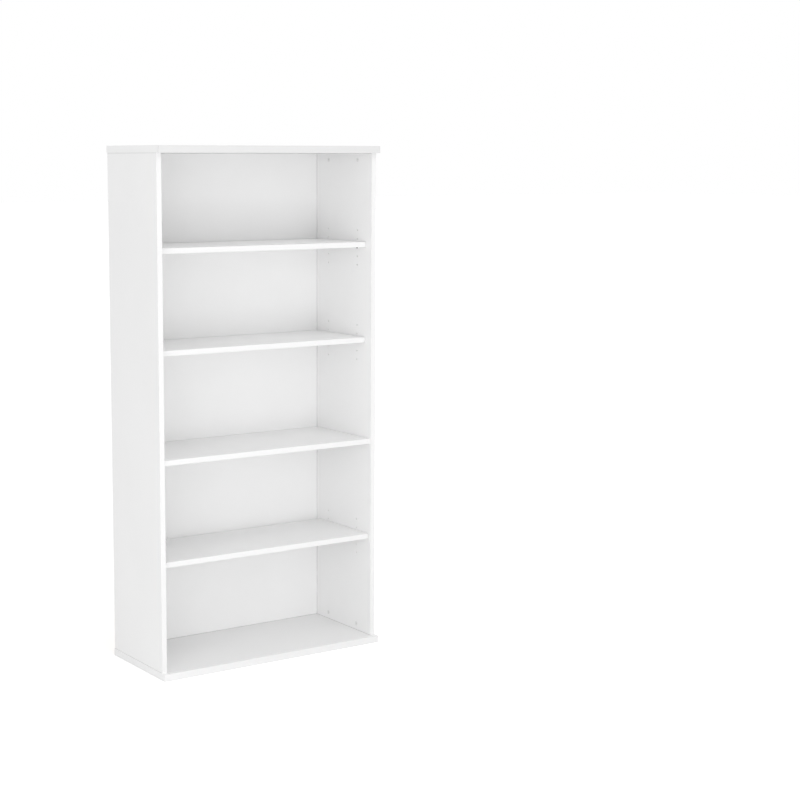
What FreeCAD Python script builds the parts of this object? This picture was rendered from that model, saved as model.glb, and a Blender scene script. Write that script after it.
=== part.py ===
import FreeCAD, Part

# Tall open bookcase: a melamine board case with a fixed middle shelf, three adjustable shelves on
# metal shelf pins, a nailed-on fibreboard back and knock-down fittings (cam locks, cam bolts, dowels).
#
# Frame: +Z up, the open front faces -Y, the origin is the bottom centre of the whole case.
# The driving sizes are the cells of the sheet "Sizes", in millimetres. DERIVED names the formulas
# that follow from them, and every sketch, pad, pocket and placement is tied to these by expression.

import math
import os
import re

import Sketcher

SIZES = (
    # the case
    ("overall_width", 906, "over the ends of the top and base panels"),
    ("overall_depth", 390, "front of the top panel to the rear of the case"),
    ("overall_height", 1849, "floor to the top's upper face"),
    ("slab_thickness", 25.4, "top and base panels"),
    ("board_thickness", 19, "side panels and shelves"),
    ("end_overhang", 3, "top and base beyond each side panel's outer face"),
    ("front_overhang", 22, "top and base in front of the side panels"),
    ("band_thickness", 1, "edge banding"),
    ("band_radius", 0.6, "rounding of the banding's outer long edges"),
    # the back
    ("back_thickness", 3.2, "fibreboard back panel"),
    ("rabbet_depth", 4.2, "front face of the back panel to the rear of the case"),
    ("rabbet_width", 9.5, "how far the rabbets reach into the sides, top and base"),
    ("back_gap", 1, "between the back panel's edges and the rabbets"),
    # the shelves
    ("shelf_end_gap", 1, "each end of an adjustable shelf to the side panel"),
    ("shelf_back_gap", 0.8, "an adjustable shelf pushed right back, to the back panel"),
    ("shelf_setback", 39, "front of a shelf pushed right back, behind the side panels' fronts"),
    ("upper_shelf_forward", 3, "how far the shelf is slid forward on its pins"),
    ("second_shelf_forward", 0, "the same for the second shelf"),
    ("lower_shelf_forward", 25, "the same for the lower shelf"),
    ("middle_setback", 9, "front of the fixed shelf behind the side panels' fronts"),
    ("middle_offset", 1.6, "fixed shelf's centre above a whole number of hole pitches"),
    # the rows of shelf pin holes
    ("hole_pitch", 32, "between hole rows"),
    ("first_row", 12.6, "row 0 above the side panel's lower end"),
    ("front_column_inset", 92, "front hole column behind the side panel's front"),
    ("rear_column_inset", 79.8, "rear hole column in front of the back panel"),
    ("pin_hole_diameter", 5.1, "shelf pin hole"),
    ("pin_hole_depth", 10, "shelf pin hole"),
    # the shelf pins
    ("pin_diameter", 5, "shank in the hole"),
    ("pin_length", 9, "shank in the hole"),
    ("pin_chamfer", 0.7, "at the shank's end"),
    ("collar_diameter", 6.8, "against the side panel"),
    ("collar_thickness", 1.5, "against the side panel"),
    ("tongue_length", 12, "under the shelf, from the side panel"),
    ("tongue_width", 8, "under the shelf"),
    ("tongue_thickness", 2, "under the shelf"),
    ("rib_thickness", 2.2, "web under the tongue"),
    ("seat_height", 3.5, "shelf's underside above the pin's axis"),
    # the cam fittings
    ("cam_distance", 24, "cam's axis from the joint between two panels"),
    ("cam_diameter", 14.9, "cam lock"),
    ("cam_back", 3, "cam lock's depth beyond the bolt's axis"),
    ("cam_recess", 6.4, "across the cross slot in the cam's face"),
    ("cam_recess_width", 1.5, "each arm of the cross slot"),
    ("cam_recess_depth", 2.5, "cross slot"),
    ("head_diameter", 5.8, "cam bolt's head inside the cam"),
    ("head_length", 3.4, "cam bolt's head inside the cam"),
    ("neck_diameter", 4.2, "cam bolt between head and collar"),
    ("bolt_collar_diameter", 7.6, "cam bolt's collar at the joint"),
    ("bolt_collar_length", 2.4, "cam bolt's collar at the joint"),
    ("thread_diameter", 5.9, "over the thread's ridges"),
    ("thread_core_diameter", 4.6, "under the thread's ridges"),
    ("thread_length", 11, "in the mating panel"),
    ("ridge_share", 0.4, "a ridge's part of the thread's pitch"),
    ("bolt_hole_diameter", 8, "in the panel's end, from the joint to the cam"),
    ("jaw_clearance", 0.5, "round the cam bolt's head in the cam"),
    # the dowels
    ("dowel_diameter", 7.9, "wooden dowel"),
    ("dowel_length", 33, "wooden dowel"),
    ("dowel_chamfer", 1, "at the dowel's ends"),
    ("dowel_seat", 11, "length in the panel that the joint's end butts against"),
    ("dowel_front_inset", 48, "front dowels behind the side panel's front"),
    ("dowel_rear_inset", 36, "rear dowels in front of the back panel"),
    ("drill_gap", 0.1, "how much wider a fitting's hole is than the fitting"),
    # the back panel's nails
    ("nail_diameter", 1.6, "shank"),
    ("nail_length", 17, "head's underside to point"),
    ("nail_point", 2.4, "tapered end"),
    ("nail_head_diameter", 5, "head"),
    ("nail_head_thickness", 0.9, "head"),
    ("nail_end_inset", 60, "first and last nail of a row from the panel's end"),
)

DERIVED = {
    "half_width": "overall_width / 2",
    "case_front": "-overall_depth / 2",
    "case_rear": "overall_depth / 2",
    "deck": "slab_thickness",
    "ceiling": "overall_height - slab_thickness",
    "side_height": "ceiling - deck",
    "side_front": "case_front + front_overhang",
    "side_outer": "half_width - end_overhang",
    "side_inner": "side_outer - board_thickness",
    "side_centre": "side_outer - board_thickness / 2",
    "back_front": "case_rear - rabbet_depth",
    "back_rear": "back_front + back_thickness",
    "rabbet_side": "side_inner + rabbet_width",
    "band_rounding": "min(band_radius; band_thickness * 0.8)",
    # rows of holes: five bays of nearly equal height, in whole pitches
    "bay_rows": "floor(side_height / (5 * hole_pitch))",
    "lower_row": "deck + first_row + bay_rows * hole_pitch",
    "second_row": "deck + first_row + (3 * bay_rows + 1) * hole_pitch",
    "upper_row": "deck + first_row + (4 * bay_rows + 1) * hole_pitch",
    "front_column": "side_front + front_column_inset",
    "rear_column": "back_front - rear_column_inset",
    # the shelves
    "middle_centre": "deck + (2 * bay_rows + 1) * hole_pitch + middle_offset",
    "middle_low": "middle_centre - board_thickness / 2",
    "middle_high": "middle_centre + board_thickness / 2",
    "shelf_end": "side_inner - shelf_end_gap",
    "shelf_front": "side_front + shelf_setback",
    "shelf_rear": "back_front - shelf_back_gap",
    # fittings
    "cam_bore_diameter": "cam_diameter + drill_gap",
    "cam_top_level": "ceiling - cam_distance",
    "cam_base_level": "deck + cam_distance",
    "bolt_depth": "board_thickness / 2",
    "cam_length": "bolt_depth + cam_back",
    "thread_hole_diameter": "thread_diameter + drill_gap",
    "dowel_hole_diameter": "dowel_diameter + drill_gap",
    "dowel_front": "side_front + dowel_front_inset",
    "dowel_rear": "back_front - dowel_rear_inset",
    "nail_hole_diameter": "nail_diameter + drill_gap",
    "nail_hole_depth": "nail_length - back_thickness",
    "nail_side": "side_inner + rabbet_width / 2",
    "nail_top": "ceiling + rabbet_width / 2",
    "nail_base": "deck - rabbet_width / 2",
}

SHELVES = ("upper", "second", "lower")
COLUMNS = ("front", "rear")
ROWS_EACH_WAY = 2
THREAD_RIDGES = 4
NAILS_UP_A_SIDE = 11
NAILS_ACROSS_A_SLAB = 5
NAILS_ACROSS_THE_SHELF = 4

# face that a tool enters by: (origin plane, axis across the face, does the cut run along the normal)
FACES = {
    "+X": ("YZ_Plane", 0, False),
    "-X": ("YZ_Plane", 0, True),
    "+Y": ("XZ_Plane", 1, True),
    "+Z": ("XY_Plane", 2, False),
    "-Z": ("XY_Plane", 2, True),
}
SKETCH_AXES = {"YZ_Plane": (1, 2), "XZ_Plane": (0, 2), "XY_Plane": (0, 1)}

SAME_PLACE = 1e-6
PARALLEL = 0.99
LEAST_SHARE_CUT = 0.5

X_AXIS = FreeCAD.Vector(1, 0, 0)
Y_AXIS = FreeCAD.Vector(0, 1, 0)
Z_AXIS = FreeCAD.Vector(0, 0, 1)

doc = FreeCAD.newDocument("Bookcase")
nodes = []


def make_sheet():
    """The sheet of driving sizes: name, value and meaning, with the name as the value's alias."""
    sheet = doc.addObject("Spreadsheet::Sheet", "Sizes")
    for row, (name, value, meaning) in enumerate(SIZES, start=1):
        sheet.set(f"A{row}", name)
        sheet.set(f"B{row}", str(value))
        sheet.set(f"C{row}", meaning)
        sheet.setAlias(f"B{row}", name)
    doc.recompute()
    return sheet


SHEET = make_sheet()
CELLS = {name for name, value, meaning in SIZES}


def tied(formula):
    """A formula of size names as an expression on the sheet, with derived names written out."""

    def swap(match):
        word = match.group()
        if word in DERIVED:
            return f"({tied(DERIVED[word])})"
        if word in CELLS:
            return f"Sizes.{word}"
        return word

    return re.sub(r"[a-z_]+", swap, formula)


def value_of(formula):
    """A formula's value for the sheet as it stands."""
    return float(SHEET.evalExpression(tied(formula)))


def place(thing, position, rotation=None):
    """Turn a thing, and tie its position to three formulas."""
    if rotation is not None:
        thing.Placement = FreeCAD.Placement(FreeCAD.Vector(), rotation)
    for axis, formula in zip("xyz", position):
        thing.setExpression(f"Placement.Base.{axis}", tied(formula))


def keep(thing, label):
    """Name a finished sub-part and list it for export."""
    thing.Label = label
    nodes.append(thing)
    return thing


# ---------------------------------------------------------------- sketches and features


def sketch_on(body, role, name, offset="0"):
    """An empty sketch on one of the body's origin planes, moved along the plane's normal."""
    plane = next(item for item in body.Origin.OriginFeatures if item.Role == role)
    sketch = body.newObject("Sketcher::SketchObject", name)
    sketch.AttachmentSupport = [(plane, "")]
    sketch.MapMode = "FlatFace"
    sketch.setExpression("AttachmentOffset.Base.z", tied(offset))
    return sketch


def hold_point(sketch, tag, geometry, vertex, point):
    """Tie a vertex's distances from the sketch's origin to a pair of formulas."""
    for kind, way, formula in (("DistanceX", "across", point[0]), ("DistanceY", "up", point[1])):
        start = value_of(formula)
        index = sketch.addConstraint(Sketcher.Constraint(kind, -1, 1, geometry, vertex, start))
        sketch.renameConstraint(index, f"{tag}_{way}")
        sketch.setExpression(f"Constraints.{tag}_{way}", tied(formula))


def draw_outline(sketch, points):
    """A closed outline of straight lines through points given as pairs of formulas."""
    corners = [FreeCAD.Vector(value_of(x), value_of(y), 0) for x, y in points]
    count = len(points)
    for i, corner in enumerate(corners):
        sketch.addGeometry(Part.LineSegment(corner, corners[(i + 1) % count]), False)
    for i in range(count):
        sketch.addConstraint(Sketcher.Constraint("Coincident", i, 2, (i + 1) % count, 1))
        hold_point(sketch, f"corner_{i}", i, 1, points[i])


def draw_rectangle(sketch, low, high):
    """An upright rectangle between two opposite corners."""
    draw_outline(sketch, (low, (high[0], low[1]), high, (low[0], high[1])))


def draw_circles(sketch, centres, diameter):
    """Equal circles: the first one holds the diameter."""
    for i, centre in enumerate(centres):
        middle = FreeCAD.Vector(value_of(centre[0]), value_of(centre[1]), 0)
        circle = Part.Circle(middle, Z_AXIS, value_of(diameter) / 2)
        sketch.addGeometry(circle, False)
        hold_point(sketch, f"centre_{i}", i, 3, centre)
        if i:
            sketch.addConstraint(Sketcher.Constraint("Equal", 0, i))
    size = sketch.addConstraint(Sketcher.Constraint("Diameter", 0, value_of(diameter)))
    sketch.renameConstraint(size, "hole_size")
    sketch.setExpression("Constraints.hole_size", tied(diameter))


def revolve(body, profile, name, axis):
    """Turn a profile a full circle about one of its sketch's own axes."""
    feature = body.newObject("PartDesign::Revolution", name)
    feature.Profile = profile
    feature.ReferenceAxis = (profile, [axis])
    feature.Angle = 360
    doc.recompute()


def pad(body, sketch, name, length, symmetric=False):
    """Pad a sketch along its normal, or half each way."""
    feature = body.newObject("PartDesign::Pad", name)
    feature.Profile = sketch
    if symmetric:
        feature.SideType = "Symmetric"
    feature.setExpression("Length", tied(length))
    doc.recompute()
    return feature


class Board:
    """A flat board between two corners of the case's frame, each corner three formulas.

    The body's own origin is the board's low corner, and its Placement carries it there.
    """

    def __init__(self, label, low, high):
        self.low = low
        self.size = [f"({b}) - ({a})" for a, b in zip(low, high)]
        self.body = keep(doc.addObject("PartDesign::Body", label), label)
        outline = sketch_on(self.body, "XY_Plane", f"{label}_outline")
        draw_rectangle(outline, ("0", "0"), (self.size[0], self.size[1]))
        self.blank = pad(self.body, outline, f"{label}_blank", self.size[2])
        place(self.body, low)

    def face_sketch(self, name, face):
        """A sketch on one of the board's faces."""
        role, axis, along_normal = FACES[face]
        offset = self.size[axis] if face[0] == "+" else "0"
        if role == "XZ_Plane":
            offset = f"-({offset})"
        return sketch_on(self.body, role, name, offset)

    def on_face(self, face, point):
        """A point of the case's frame, in the sketch coordinates of a face."""
        across, up = SKETCH_AXES[FACES[face][0]]
        return f"({point[0]}) - ({self.low[across]})", f"({point[1]}) - ({self.low[up]})"

    def cut(self, name, face, sketch, depth, area):
        """Pocket a sketch of this area into the board, and make sure that it took material away."""
        before = self.body.Shape.Volume
        feature = self.body.newObject("PartDesign::Pocket", name)
        feature.Profile = sketch
        feature.Reversed = FACES[face][2]
        feature.setExpression("Length", tied(depth))
        doc.recompute()
        removed = before - self.body.Shape.Volume
        if removed < LEAST_SHARE_CUT * area * value_of(depth):
            raise RuntimeError(f"{name} took away only {removed:.1f} cubic millimetres")

    def drill(self, name, face, centres, diameter, depth):
        """Blind round holes, their centres as pairs of formulas in the case's frame."""
        sketch = self.face_sketch(f"{name}_sketch", face)
        draw_circles(sketch, [self.on_face(face, point) for point in centres], diameter)
        area = len(centres) * math.pi * value_of(diameter) ** 2 / 4
        self.cut(name, face, sketch, depth, area)

    def rabbet(self, name, face, low, high, depth):
        """A rectangular recess between two points of a face."""
        sketch = self.face_sketch(f"{name}_sketch", face)
        draw_rectangle(sketch, self.on_face(face, low), self.on_face(face, high))
        area = math.prod(value_of(b) - value_of(a) for a, b in zip(low, high))
        self.cut(name, face, sketch, depth, area)


def make_band(label, low, high, outer, run):
    """A strip of edge banding, with the long edges of its outer face rounded.

    outer is the axis across the strip and which end of it faces out; run is the axis it lies along.
    """
    band = Board(label, low, high)
    axis, side = outer
    outer_face = value_of(band.size[axis]) if side > 0 else 0
    along = (X_AXIS, Y_AXIS, Z_AXIS)[run]
    edges = []
    for number, edge in enumerate(band.blank.Shape.Edges, start=1):
        parallel = abs(edge.tangentAt(edge.FirstParameter).dot(along)) > PARALLEL
        if parallel and abs(edge.CenterOfMass[axis] - outer_face) < SAME_PLACE:
            edges.append(f"Edge{number}")
    rounding = band.body.newObject("PartDesign::Fillet", f"{label}_rounding")
    rounding.Base = (band.blank, edges)
    rounding.setExpression("Radius", tied("band_rounding"))


# ---------------------------------------------------------------- where the fittings go


def signed(side, formula):
    """A formula for the left (-1) or right (+1) half of the case."""
    return f"-({formula})" if side < 0 else formula


def span(side, inner, outer):
    """The low and high formula of a span, in the left (-1) or right (+1) half of the case."""
    if side < 0:
        return f"-({outer})", f"-({inner})"
    return inner, outer


def row_levels(shelf):
    """The five hole rows of one shelf, lowest first."""
    reach = range(-ROWS_EACH_WAY, ROWS_EACH_WAY + 1)
    return [f"{shelf}_row + {step} * hole_pitch" for step in reach]


def column_points(level):
    """(y, z) of the front and rear hole column at one level."""
    return [(f"{name}_column", level) for name in COLUMNS]


def dowel_points(level):
    """(y, z) of the front and rear dowel at one level."""
    return [(f"dowel_{name}", level) for name in COLUMNS]


def spread(count, low, high):
    """Evenly spaced formulas from low to high."""
    return [f"{low} + (({high}) - ({low})) * {i} / {count - 1}" for i in range(count)]


def nails_across(count):
    """x of the nails along a level panel."""
    reach = "side_inner - nail_end_inset"
    return spread(count, f"-({reach})", reach)


def nails_up_a_side():
    """z of the nails up each side panel."""
    return spread(NAILS_UP_A_SIDE, "deck + nail_end_inset", "ceiling - nail_end_inset")


def nail_points():
    """(x, z) of every nail in the back panel."""
    points = [(signed(side, "nail_side"), z) for side in (-1, 1) for z in nails_up_a_side()]
    for level in ("nail_top", "nail_base"):
        points += [(x, level) for x in nails_across(NAILS_ACROSS_A_SLAB)]
    points += [(x, "middle_centre") for x in nails_across(NAILS_ACROSS_THE_SHELF)]
    return points


# ---------------------------------------------------------------- the case


def make_side(label, side):
    """A side panel, drilled on its inner face and both ends, with a rabbet for the back."""
    low_x, high_x = span(side, "side_inner", "side_outer")
    board = Board(label, (low_x, "side_front + band_thickness", "deck"),
                  (high_x, "case_rear", "ceiling"))
    face = "+X" if side < 0 else "-X"

    holes = [point for shelf in SHELVES for level in row_levels(shelf)
             for point in column_points(level)]
    board.drill(f"{label}_pin_holes", face, holes, "pin_hole_diameter", "pin_hole_depth")
    cams = column_points("cam_top_level") + column_points("cam_base_level")
    board.drill(f"{label}_cam_bores", face, cams, "cam_bore_diameter", "cam_length")
    board.drill(f"{label}_shelf_bolt_holes", face, column_points("middle_centre"),
                "thread_hole_diameter", "thread_length")
    board.drill(f"{label}_shelf_dowel_holes", face, dowel_points("middle_centre"),
                "dowel_hole_diameter", "dowel_seat")
    centre = signed(side, "side_centre")
    bolts = [(centre, f"{name}_column") for name in COLUMNS]
    dowels = [(centre, f"dowel_{name}") for name in COLUMNS]
    for end, tag in (("+Z", "top"), ("-Z", "base")):
        board.drill(f"{label}_{tag}_bolt_channels", end, bolts, "bolt_hole_diameter", "cam_distance")
        board.drill(f"{label}_{tag}_dowel_holes", end, dowels, "dowel_hole_diameter",
                    "dowel_length - dowel_seat")
    board.rabbet(f"{label}_rabbet", face, ("back_front", "deck"), ("case_rear", "ceiling"),
                 "rabbet_width")
    nails = [(signed(side, "nail_side"), level) for level in nails_up_a_side()]
    board.drill(f"{label}_nail_holes", "+Y", nails, "nail_hole_diameter",
                "nail_hole_depth + rabbet_depth")
    make_band(f"{label.replace('_panel', '')}_band", (low_x, "side_front", "deck"),
              (high_x, "side_front + band_thickness", "ceiling"), (1, -1), 2)


def make_slab(label, low_level, high_level, inner_face):
    """The top or the base: drilled for the sides' fittings, with a stopped rabbet for the back."""
    board = Board(f"{label}_panel",
                  ("-half_width + band_thickness", "case_front + band_thickness", low_level),
                  ("half_width - band_thickness", "case_rear", high_level))
    sides = [signed(side, "side_centre") for side in (-1, 1)]
    bolts = [(x, f"{name}_column") for x in sides for name in COLUMNS]
    dowels = [(x, f"dowel_{name}") for x in sides for name in COLUMNS]
    board.drill(f"{label}_bolt_holes", inner_face, bolts, "thread_hole_diameter", "thread_length")
    board.drill(f"{label}_dowel_holes", inner_face, dowels, "dowel_hole_diameter", "dowel_seat")
    board.rabbet(f"{label}_rabbet", inner_face, ("-rabbet_side", "back_front"),
                 ("rabbet_side", "case_rear"), "rabbet_width")
    nails = [(x, f"nail_{label}") for x in nails_across(NAILS_ACROSS_A_SLAB)]
    board.drill(f"{label}_nail_holes", "+Y", nails, "nail_hole_diameter",
                "nail_hole_depth + rabbet_depth")
    make_band(f"{label}_front_band",
              ("-half_width", "case_front", low_level),
              ("half_width", "case_front + band_thickness", high_level), (1, -1), 0)
    for side, name in ((-1, "left"), (1, "right")):
        low_x, high_x = span(side, "half_width - band_thickness", "half_width")
        make_band(f"{label}_{name}_end_band",
                  (low_x, "case_front + band_thickness", low_level),
                  (high_x, "case_rear", high_level), (0, side), 1)


def make_middle_shelf():
    """The fixed shelf: cams in its underside, bolts and dowels in its ends."""
    label = "middle_shelf"
    front = "side_front + middle_setback"
    board = Board(label, ("-side_inner", f"{front} + band_thickness", "middle_low"),
                  ("side_inner", "back_front", "middle_high"))
    cams = [(signed(side, "side_inner - cam_distance"), f"{name}_column")
            for side in (-1, 1) for name in COLUMNS]
    board.drill(f"{label}_cam_bores", "-Z", cams, "cam_bore_diameter", "cam_length")
    for end, tag in (("-X", "left"), ("+X", "right")):
        board.drill(f"{label}_{tag}_bolt_channels", end, column_points("middle_centre"),
                    "bolt_hole_diameter", "cam_distance")
        board.drill(f"{label}_{tag}_dowel_holes", end, dowel_points("middle_centre"),
                    "dowel_hole_diameter", "dowel_length - dowel_seat")
    nails = [(x, "middle_centre") for x in nails_across(NAILS_ACROSS_THE_SHELF)]
    board.drill(f"{label}_nail_holes", "+Y", nails, "nail_hole_diameter", "nail_hole_depth")
    make_band(f"{label}_band", ("-side_inner", front, "middle_low"),
              ("side_inner", f"{front} + band_thickness", "middle_high"), (1, -1), 0)


def make_adjustable_shelf(name):
    """A loose shelf lying on its four pins, slid a little forward."""
    slid = f"{name}_shelf_forward"
    underside = f"{name}_row + seat_height"
    topside = f"{underside} + board_thickness"
    front = f"shelf_front - {slid}"
    Board(f"{name}_shelf", ("-shelf_end", f"{front} + band_thickness", underside),
          ("shelf_end", f"shelf_rear - {slid}", topside))
    make_band(f"{name}_shelf_band", ("-shelf_end", front, underside),
              ("shelf_end", f"{front} + band_thickness", topside), (1, -1), 0)


def make_back():
    """The thin back panel, held in the rabbets by nails."""
    board = Board("back_panel",
                  ("-rabbet_side + back_gap", "back_front", "deck - rabbet_width + back_gap"),
                  ("rabbet_side - back_gap", "back_rear", "ceiling + rabbet_width - back_gap"))
    board.drill("back_nail_holes", "+Y", nail_points(), "nail_hole_diameter", "back_thickness")


# ---------------------------------------------------------------- shelf pins


def make_pin(label, side, column, row):
    """A shelf pin: a round shank for the hole, a collar, and a ribbed tongue under the shelf.

    Its own frame has the shank along -X, the side panel's face at X = 0 and the tongue along +X.
    """
    body = keep(doc.addObject("PartDesign::Body", label), label)
    turned = sketch_on(body, "XZ_Plane", f"{label}_profile")
    draw_outline(turned, (
        ("-pin_length", "0"),
        ("-pin_length", "pin_diameter / 2 - pin_chamfer"),
        ("-pin_length + pin_chamfer", "pin_diameter / 2"),
        ("0", "pin_diameter / 2"),
        ("0", "collar_diameter / 2"),
        ("collar_thickness", "collar_diameter / 2"),
        ("collar_thickness", "0"),
    ))
    revolve(body, turned, f"{label}_shank", "H_Axis")
    tongue = sketch_on(body, "XY_Plane", f"{label}_tongue_outline", "seat_height - tongue_thickness")
    draw_rectangle(tongue, ("0", "-tongue_width / 2"),
                   ("tongue_length - tongue_width / 2", "tongue_width / 2"))
    pad(body, tongue, f"{label}_tongue", "tongue_thickness")
    tip = sketch_on(body, "XY_Plane", f"{label}_tip_outline", "seat_height - tongue_thickness")
    draw_circles(tip, [("tongue_length - tongue_width / 2", "0")], "tongue_width")
    pad(body, tip, f"{label}_tip", "tongue_thickness")
    web = sketch_on(body, "XZ_Plane", f"{label}_web_outline")
    draw_outline(web, (
        ("0", "-pin_diameter / 2"),
        ("tongue_length - tongue_thickness", "seat_height - tongue_thickness"),
        ("0", "seat_height - tongue_thickness"),
    ))
    pad(body, web, f"{label}_web", "rib_thickness", symmetric=True)
    turn = FreeCAD.Rotation(Z_AXIS, 0 if side < 0 else 180)
    place(body, (signed(side, "side_inner"), f"{column}_column", f"{row}_row"), turn)


# ---------------------------------------------------------------- hidden fittings


def joint_rotation(face, mouth):
    """The turn that points a fitting's Z along the panel's face normal and its Y at the joint."""
    return FreeCAD.Rotation(mouth.cross(face), mouth, face, "ZYX")


def make_rod(name, diameter, start, length):
    """A cylinder along +Y at the bolt's depth under the cam's face, from one length along it."""
    rod = doc.addObject("Part::Cylinder", name)
    rod.setExpression("Radius", tied(f"({diameter}) / 2"))
    rod.setExpression("Height", tied(length))
    place(rod, ("0", start, "-bolt_depth"), FreeCAD.Rotation(X_AXIS, -90))
    return rod


def make_block(name, low, size):
    """A box from its low corner and its size."""
    block = doc.addObject("Part::Box", name)
    for edge, formula in zip(("Length", "Width", "Height"), size):
        block.setExpression(edge, tied(formula))
    place(block, low)
    return block


def make_cam():
    """A cam lock: a disc with a cross slot in its face and a slot for the bolt's head behind.

    The face is at Z = 0, the disc runs to -Z, and the bolt comes in along Y.
    """
    disc = doc.addObject("Part::Cylinder", "cam_disc")
    disc.setExpression("Radius", tied("cam_diameter / 2"))
    disc.setExpression("Height", tied("cam_length"))
    place(disc, ("0", "0", "-cam_length"))
    arms = []
    for name, across, up in (("cam_slot_across", "cam_recess", "cam_recess_width"),
                             ("cam_slot_up", "cam_recess_width", "cam_recess")):
        arms.append(make_block(name, (f"-{across} / 2", f"-{up} / 2", "-cam_recess_depth"),
                               (across, up, "cam_recess_depth")))
    room = "head_diameter / 2 + jaw_clearance"
    jaw = make_block("cam_jaw", (f"-({room})", "-head_length", "-cam_length"),
                     (f"2 * ({room})", "cam_diameter", f"cam_length - bolt_depth + {room}"))
    slots = doc.addObject("Part::MultiFuse", "cam_slots")
    slots.Shapes = arms + [jaw]
    cam = doc.addObject("Part::Cut", "cam_lock")
    cam.Base = disc
    cam.Tool = slots
    return cam


def make_bolt():
    """A cam bolt in the same frame as its cam: head at the cam's axis, thread past the joint."""
    pitch = f"thread_length / {THREAD_RIDGES}"
    ridge = f"ridge_share * {pitch}"
    rods = [
        make_rod("bolt_head", "head_diameter", "-head_length / 2", "head_length"),
        make_rod("bolt_neck", "neck_diameter", "0", "cam_distance"),
        make_rod("bolt_collar", "bolt_collar_diameter", "cam_distance - bolt_collar_length",
                 "bolt_collar_length"),
        make_rod("bolt_core", "thread_core_diameter", "cam_distance", "thread_length"),
    ]
    for i in range(THREAD_RIDGES):
        start = f"cam_distance + {i} * {pitch} + {ridge}"
        rods.append(make_rod(f"bolt_ridge_{i}", "thread_diameter", start, ridge))
    bolt = doc.addObject("Part::MultiFuse", "cam_bolt")
    bolt.Shapes = rods
    return bolt


def make_dowel():
    """A dowel along Z with chamfered ends; its longer part is below Z = 0, the joint."""
    body = doc.addObject("PartDesign::Body", "dowel")
    profile = sketch_on(body, "XZ_Plane", "dowel_profile")
    low, high = "dowel_seat - dowel_length", "dowel_seat"
    draw_outline(profile, (
        ("0", low),
        ("dowel_diameter / 2 - dowel_chamfer", low),
        ("dowel_diameter / 2", f"{low} + dowel_chamfer"),
        ("dowel_diameter / 2", f"{high} - dowel_chamfer"),
        ("dowel_diameter / 2 - dowel_chamfer", high),
        ("0", high),
    ))
    revolve(body, profile, "dowel_turned", "V_Axis")
    return body


def make_nail():
    """A flat-headed nail pointing down -Z, its head's underside at Z = 0."""
    body = doc.addObject("PartDesign::Body", "nail")
    profile = sketch_on(body, "XZ_Plane", "nail_profile")
    draw_outline(profile, (
        ("0", "-nail_length"),
        ("nail_diameter / 2", "nail_point - nail_length"),
        ("nail_diameter / 2", "0"),
        ("nail_head_diameter / 2", "0"),
        ("nail_head_diameter / 2", "nail_head_thickness / 2"),
        ("nail_head_diameter / 2 - nail_head_thickness / 2", "nail_head_thickness"),
        ("0", "nail_head_thickness"),
    ))
    revolve(body, profile, "nail_turned", "V_Axis")
    return body


def make_group(label, master, places):
    """One node of equal fasteners, each a separate solid linked to the same master."""
    links = []
    for i, (position, rotation) in enumerate(places):
        link = doc.addObject("App::Link", f"{label}_{i}")
        link.LinkedObject = master
        place(link, position, rotation)
        links.append(link)
    group = keep(doc.addObject("Part::Compound", label), label)
    group.Links = links


def slab_joint_places(level, mouth):
    """Cams and bolts of the top's or the base's joint: in the sides' inner faces."""
    return [((signed(side, "side_inner"), f"{name}_column", level),
             joint_rotation(X_AXIS * -side, mouth))
            for side in (-1, 1) for name in COLUMNS]


def shelf_joint_places():
    """Cams and bolts of the middle shelf's joints: in its underside, bolts towards the sides."""
    return [((signed(side, "side_inner - cam_distance"), f"{name}_column", "middle_low"),
             joint_rotation(Z_AXIS * -1, X_AXIS * side))
            for side in (-1, 1) for name in COLUMNS]


def dowel_places(level, into):
    """Dowels of the top's or the base's joint: the seat end points into the slab."""
    rotation = FreeCAD.Rotation(Z_AXIS, into)
    return [((signed(side, "side_centre"), f"dowel_{name}", level), rotation)
            for side in (-1, 1) for name in COLUMNS]


def shelf_dowel_places():
    """Dowels of the middle shelf's joints: the seat end points into the side panel."""
    return [((signed(side, "side_inner"), f"dowel_{name}", "middle_centre"),
             FreeCAD.Rotation(Z_AXIS, X_AXIS * side))
            for side in (-1, 1) for name in COLUMNS]


def nail_places():
    """Every nail, driven forward from the back panel's rear face."""
    rotation = FreeCAD.Rotation(Z_AXIS, Y_AXIS)
    return [((x, "back_rear", z), rotation) for x, z in nail_points()]


def make_fittings():
    """Cam locks, cam bolts, dowels and nails, grouped by the joint that they hold."""
    cam, bolt, dowel, nail = make_cam(), make_bolt(), make_dowel(), make_nail()
    joints = {
        "top": slab_joint_places("cam_top_level", Z_AXIS),
        "base": slab_joint_places("cam_base_level", Z_AXIS * -1),
        "middle_shelf": shelf_joint_places(),
    }
    for name, places in joints.items():
        make_group(f"{name}_cam_locks", cam, places)
        make_group(f"{name}_cam_bolts", bolt, places)
    make_group("top_dowels", dowel, dowel_places("ceiling", Z_AXIS))
    make_group("base_dowels", dowel, dowel_places("deck", Z_AXIS * -1))
    make_group("middle_shelf_dowels", dowel, shelf_dowel_places())
    make_group("back_panel_nails", nail, nail_places())


# ---------------------------------------------------------------- build, check, write


def check_document():
    """Stop if any object failed or any sub-part has no valid shape."""
    for thing in doc.Objects:
        if {"Invalid", "Error"} & set(thing.State):
            raise RuntimeError(f"{thing.Label} failed: {thing.State}")
    for node in nodes:
        if node.Shape.isNull() or not node.Shape.isValid() or not node.Shape.Solids:
            raise RuntimeError(f"{node.Label} has no valid solid")


def write_parts():
    """One STEP file for each sub-part, named by its label."""
    os.makedirs("parts", exist_ok=True)
    for node in nodes:
        node.Shape.exportStep(f"parts/{node.Label}.step")


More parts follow.
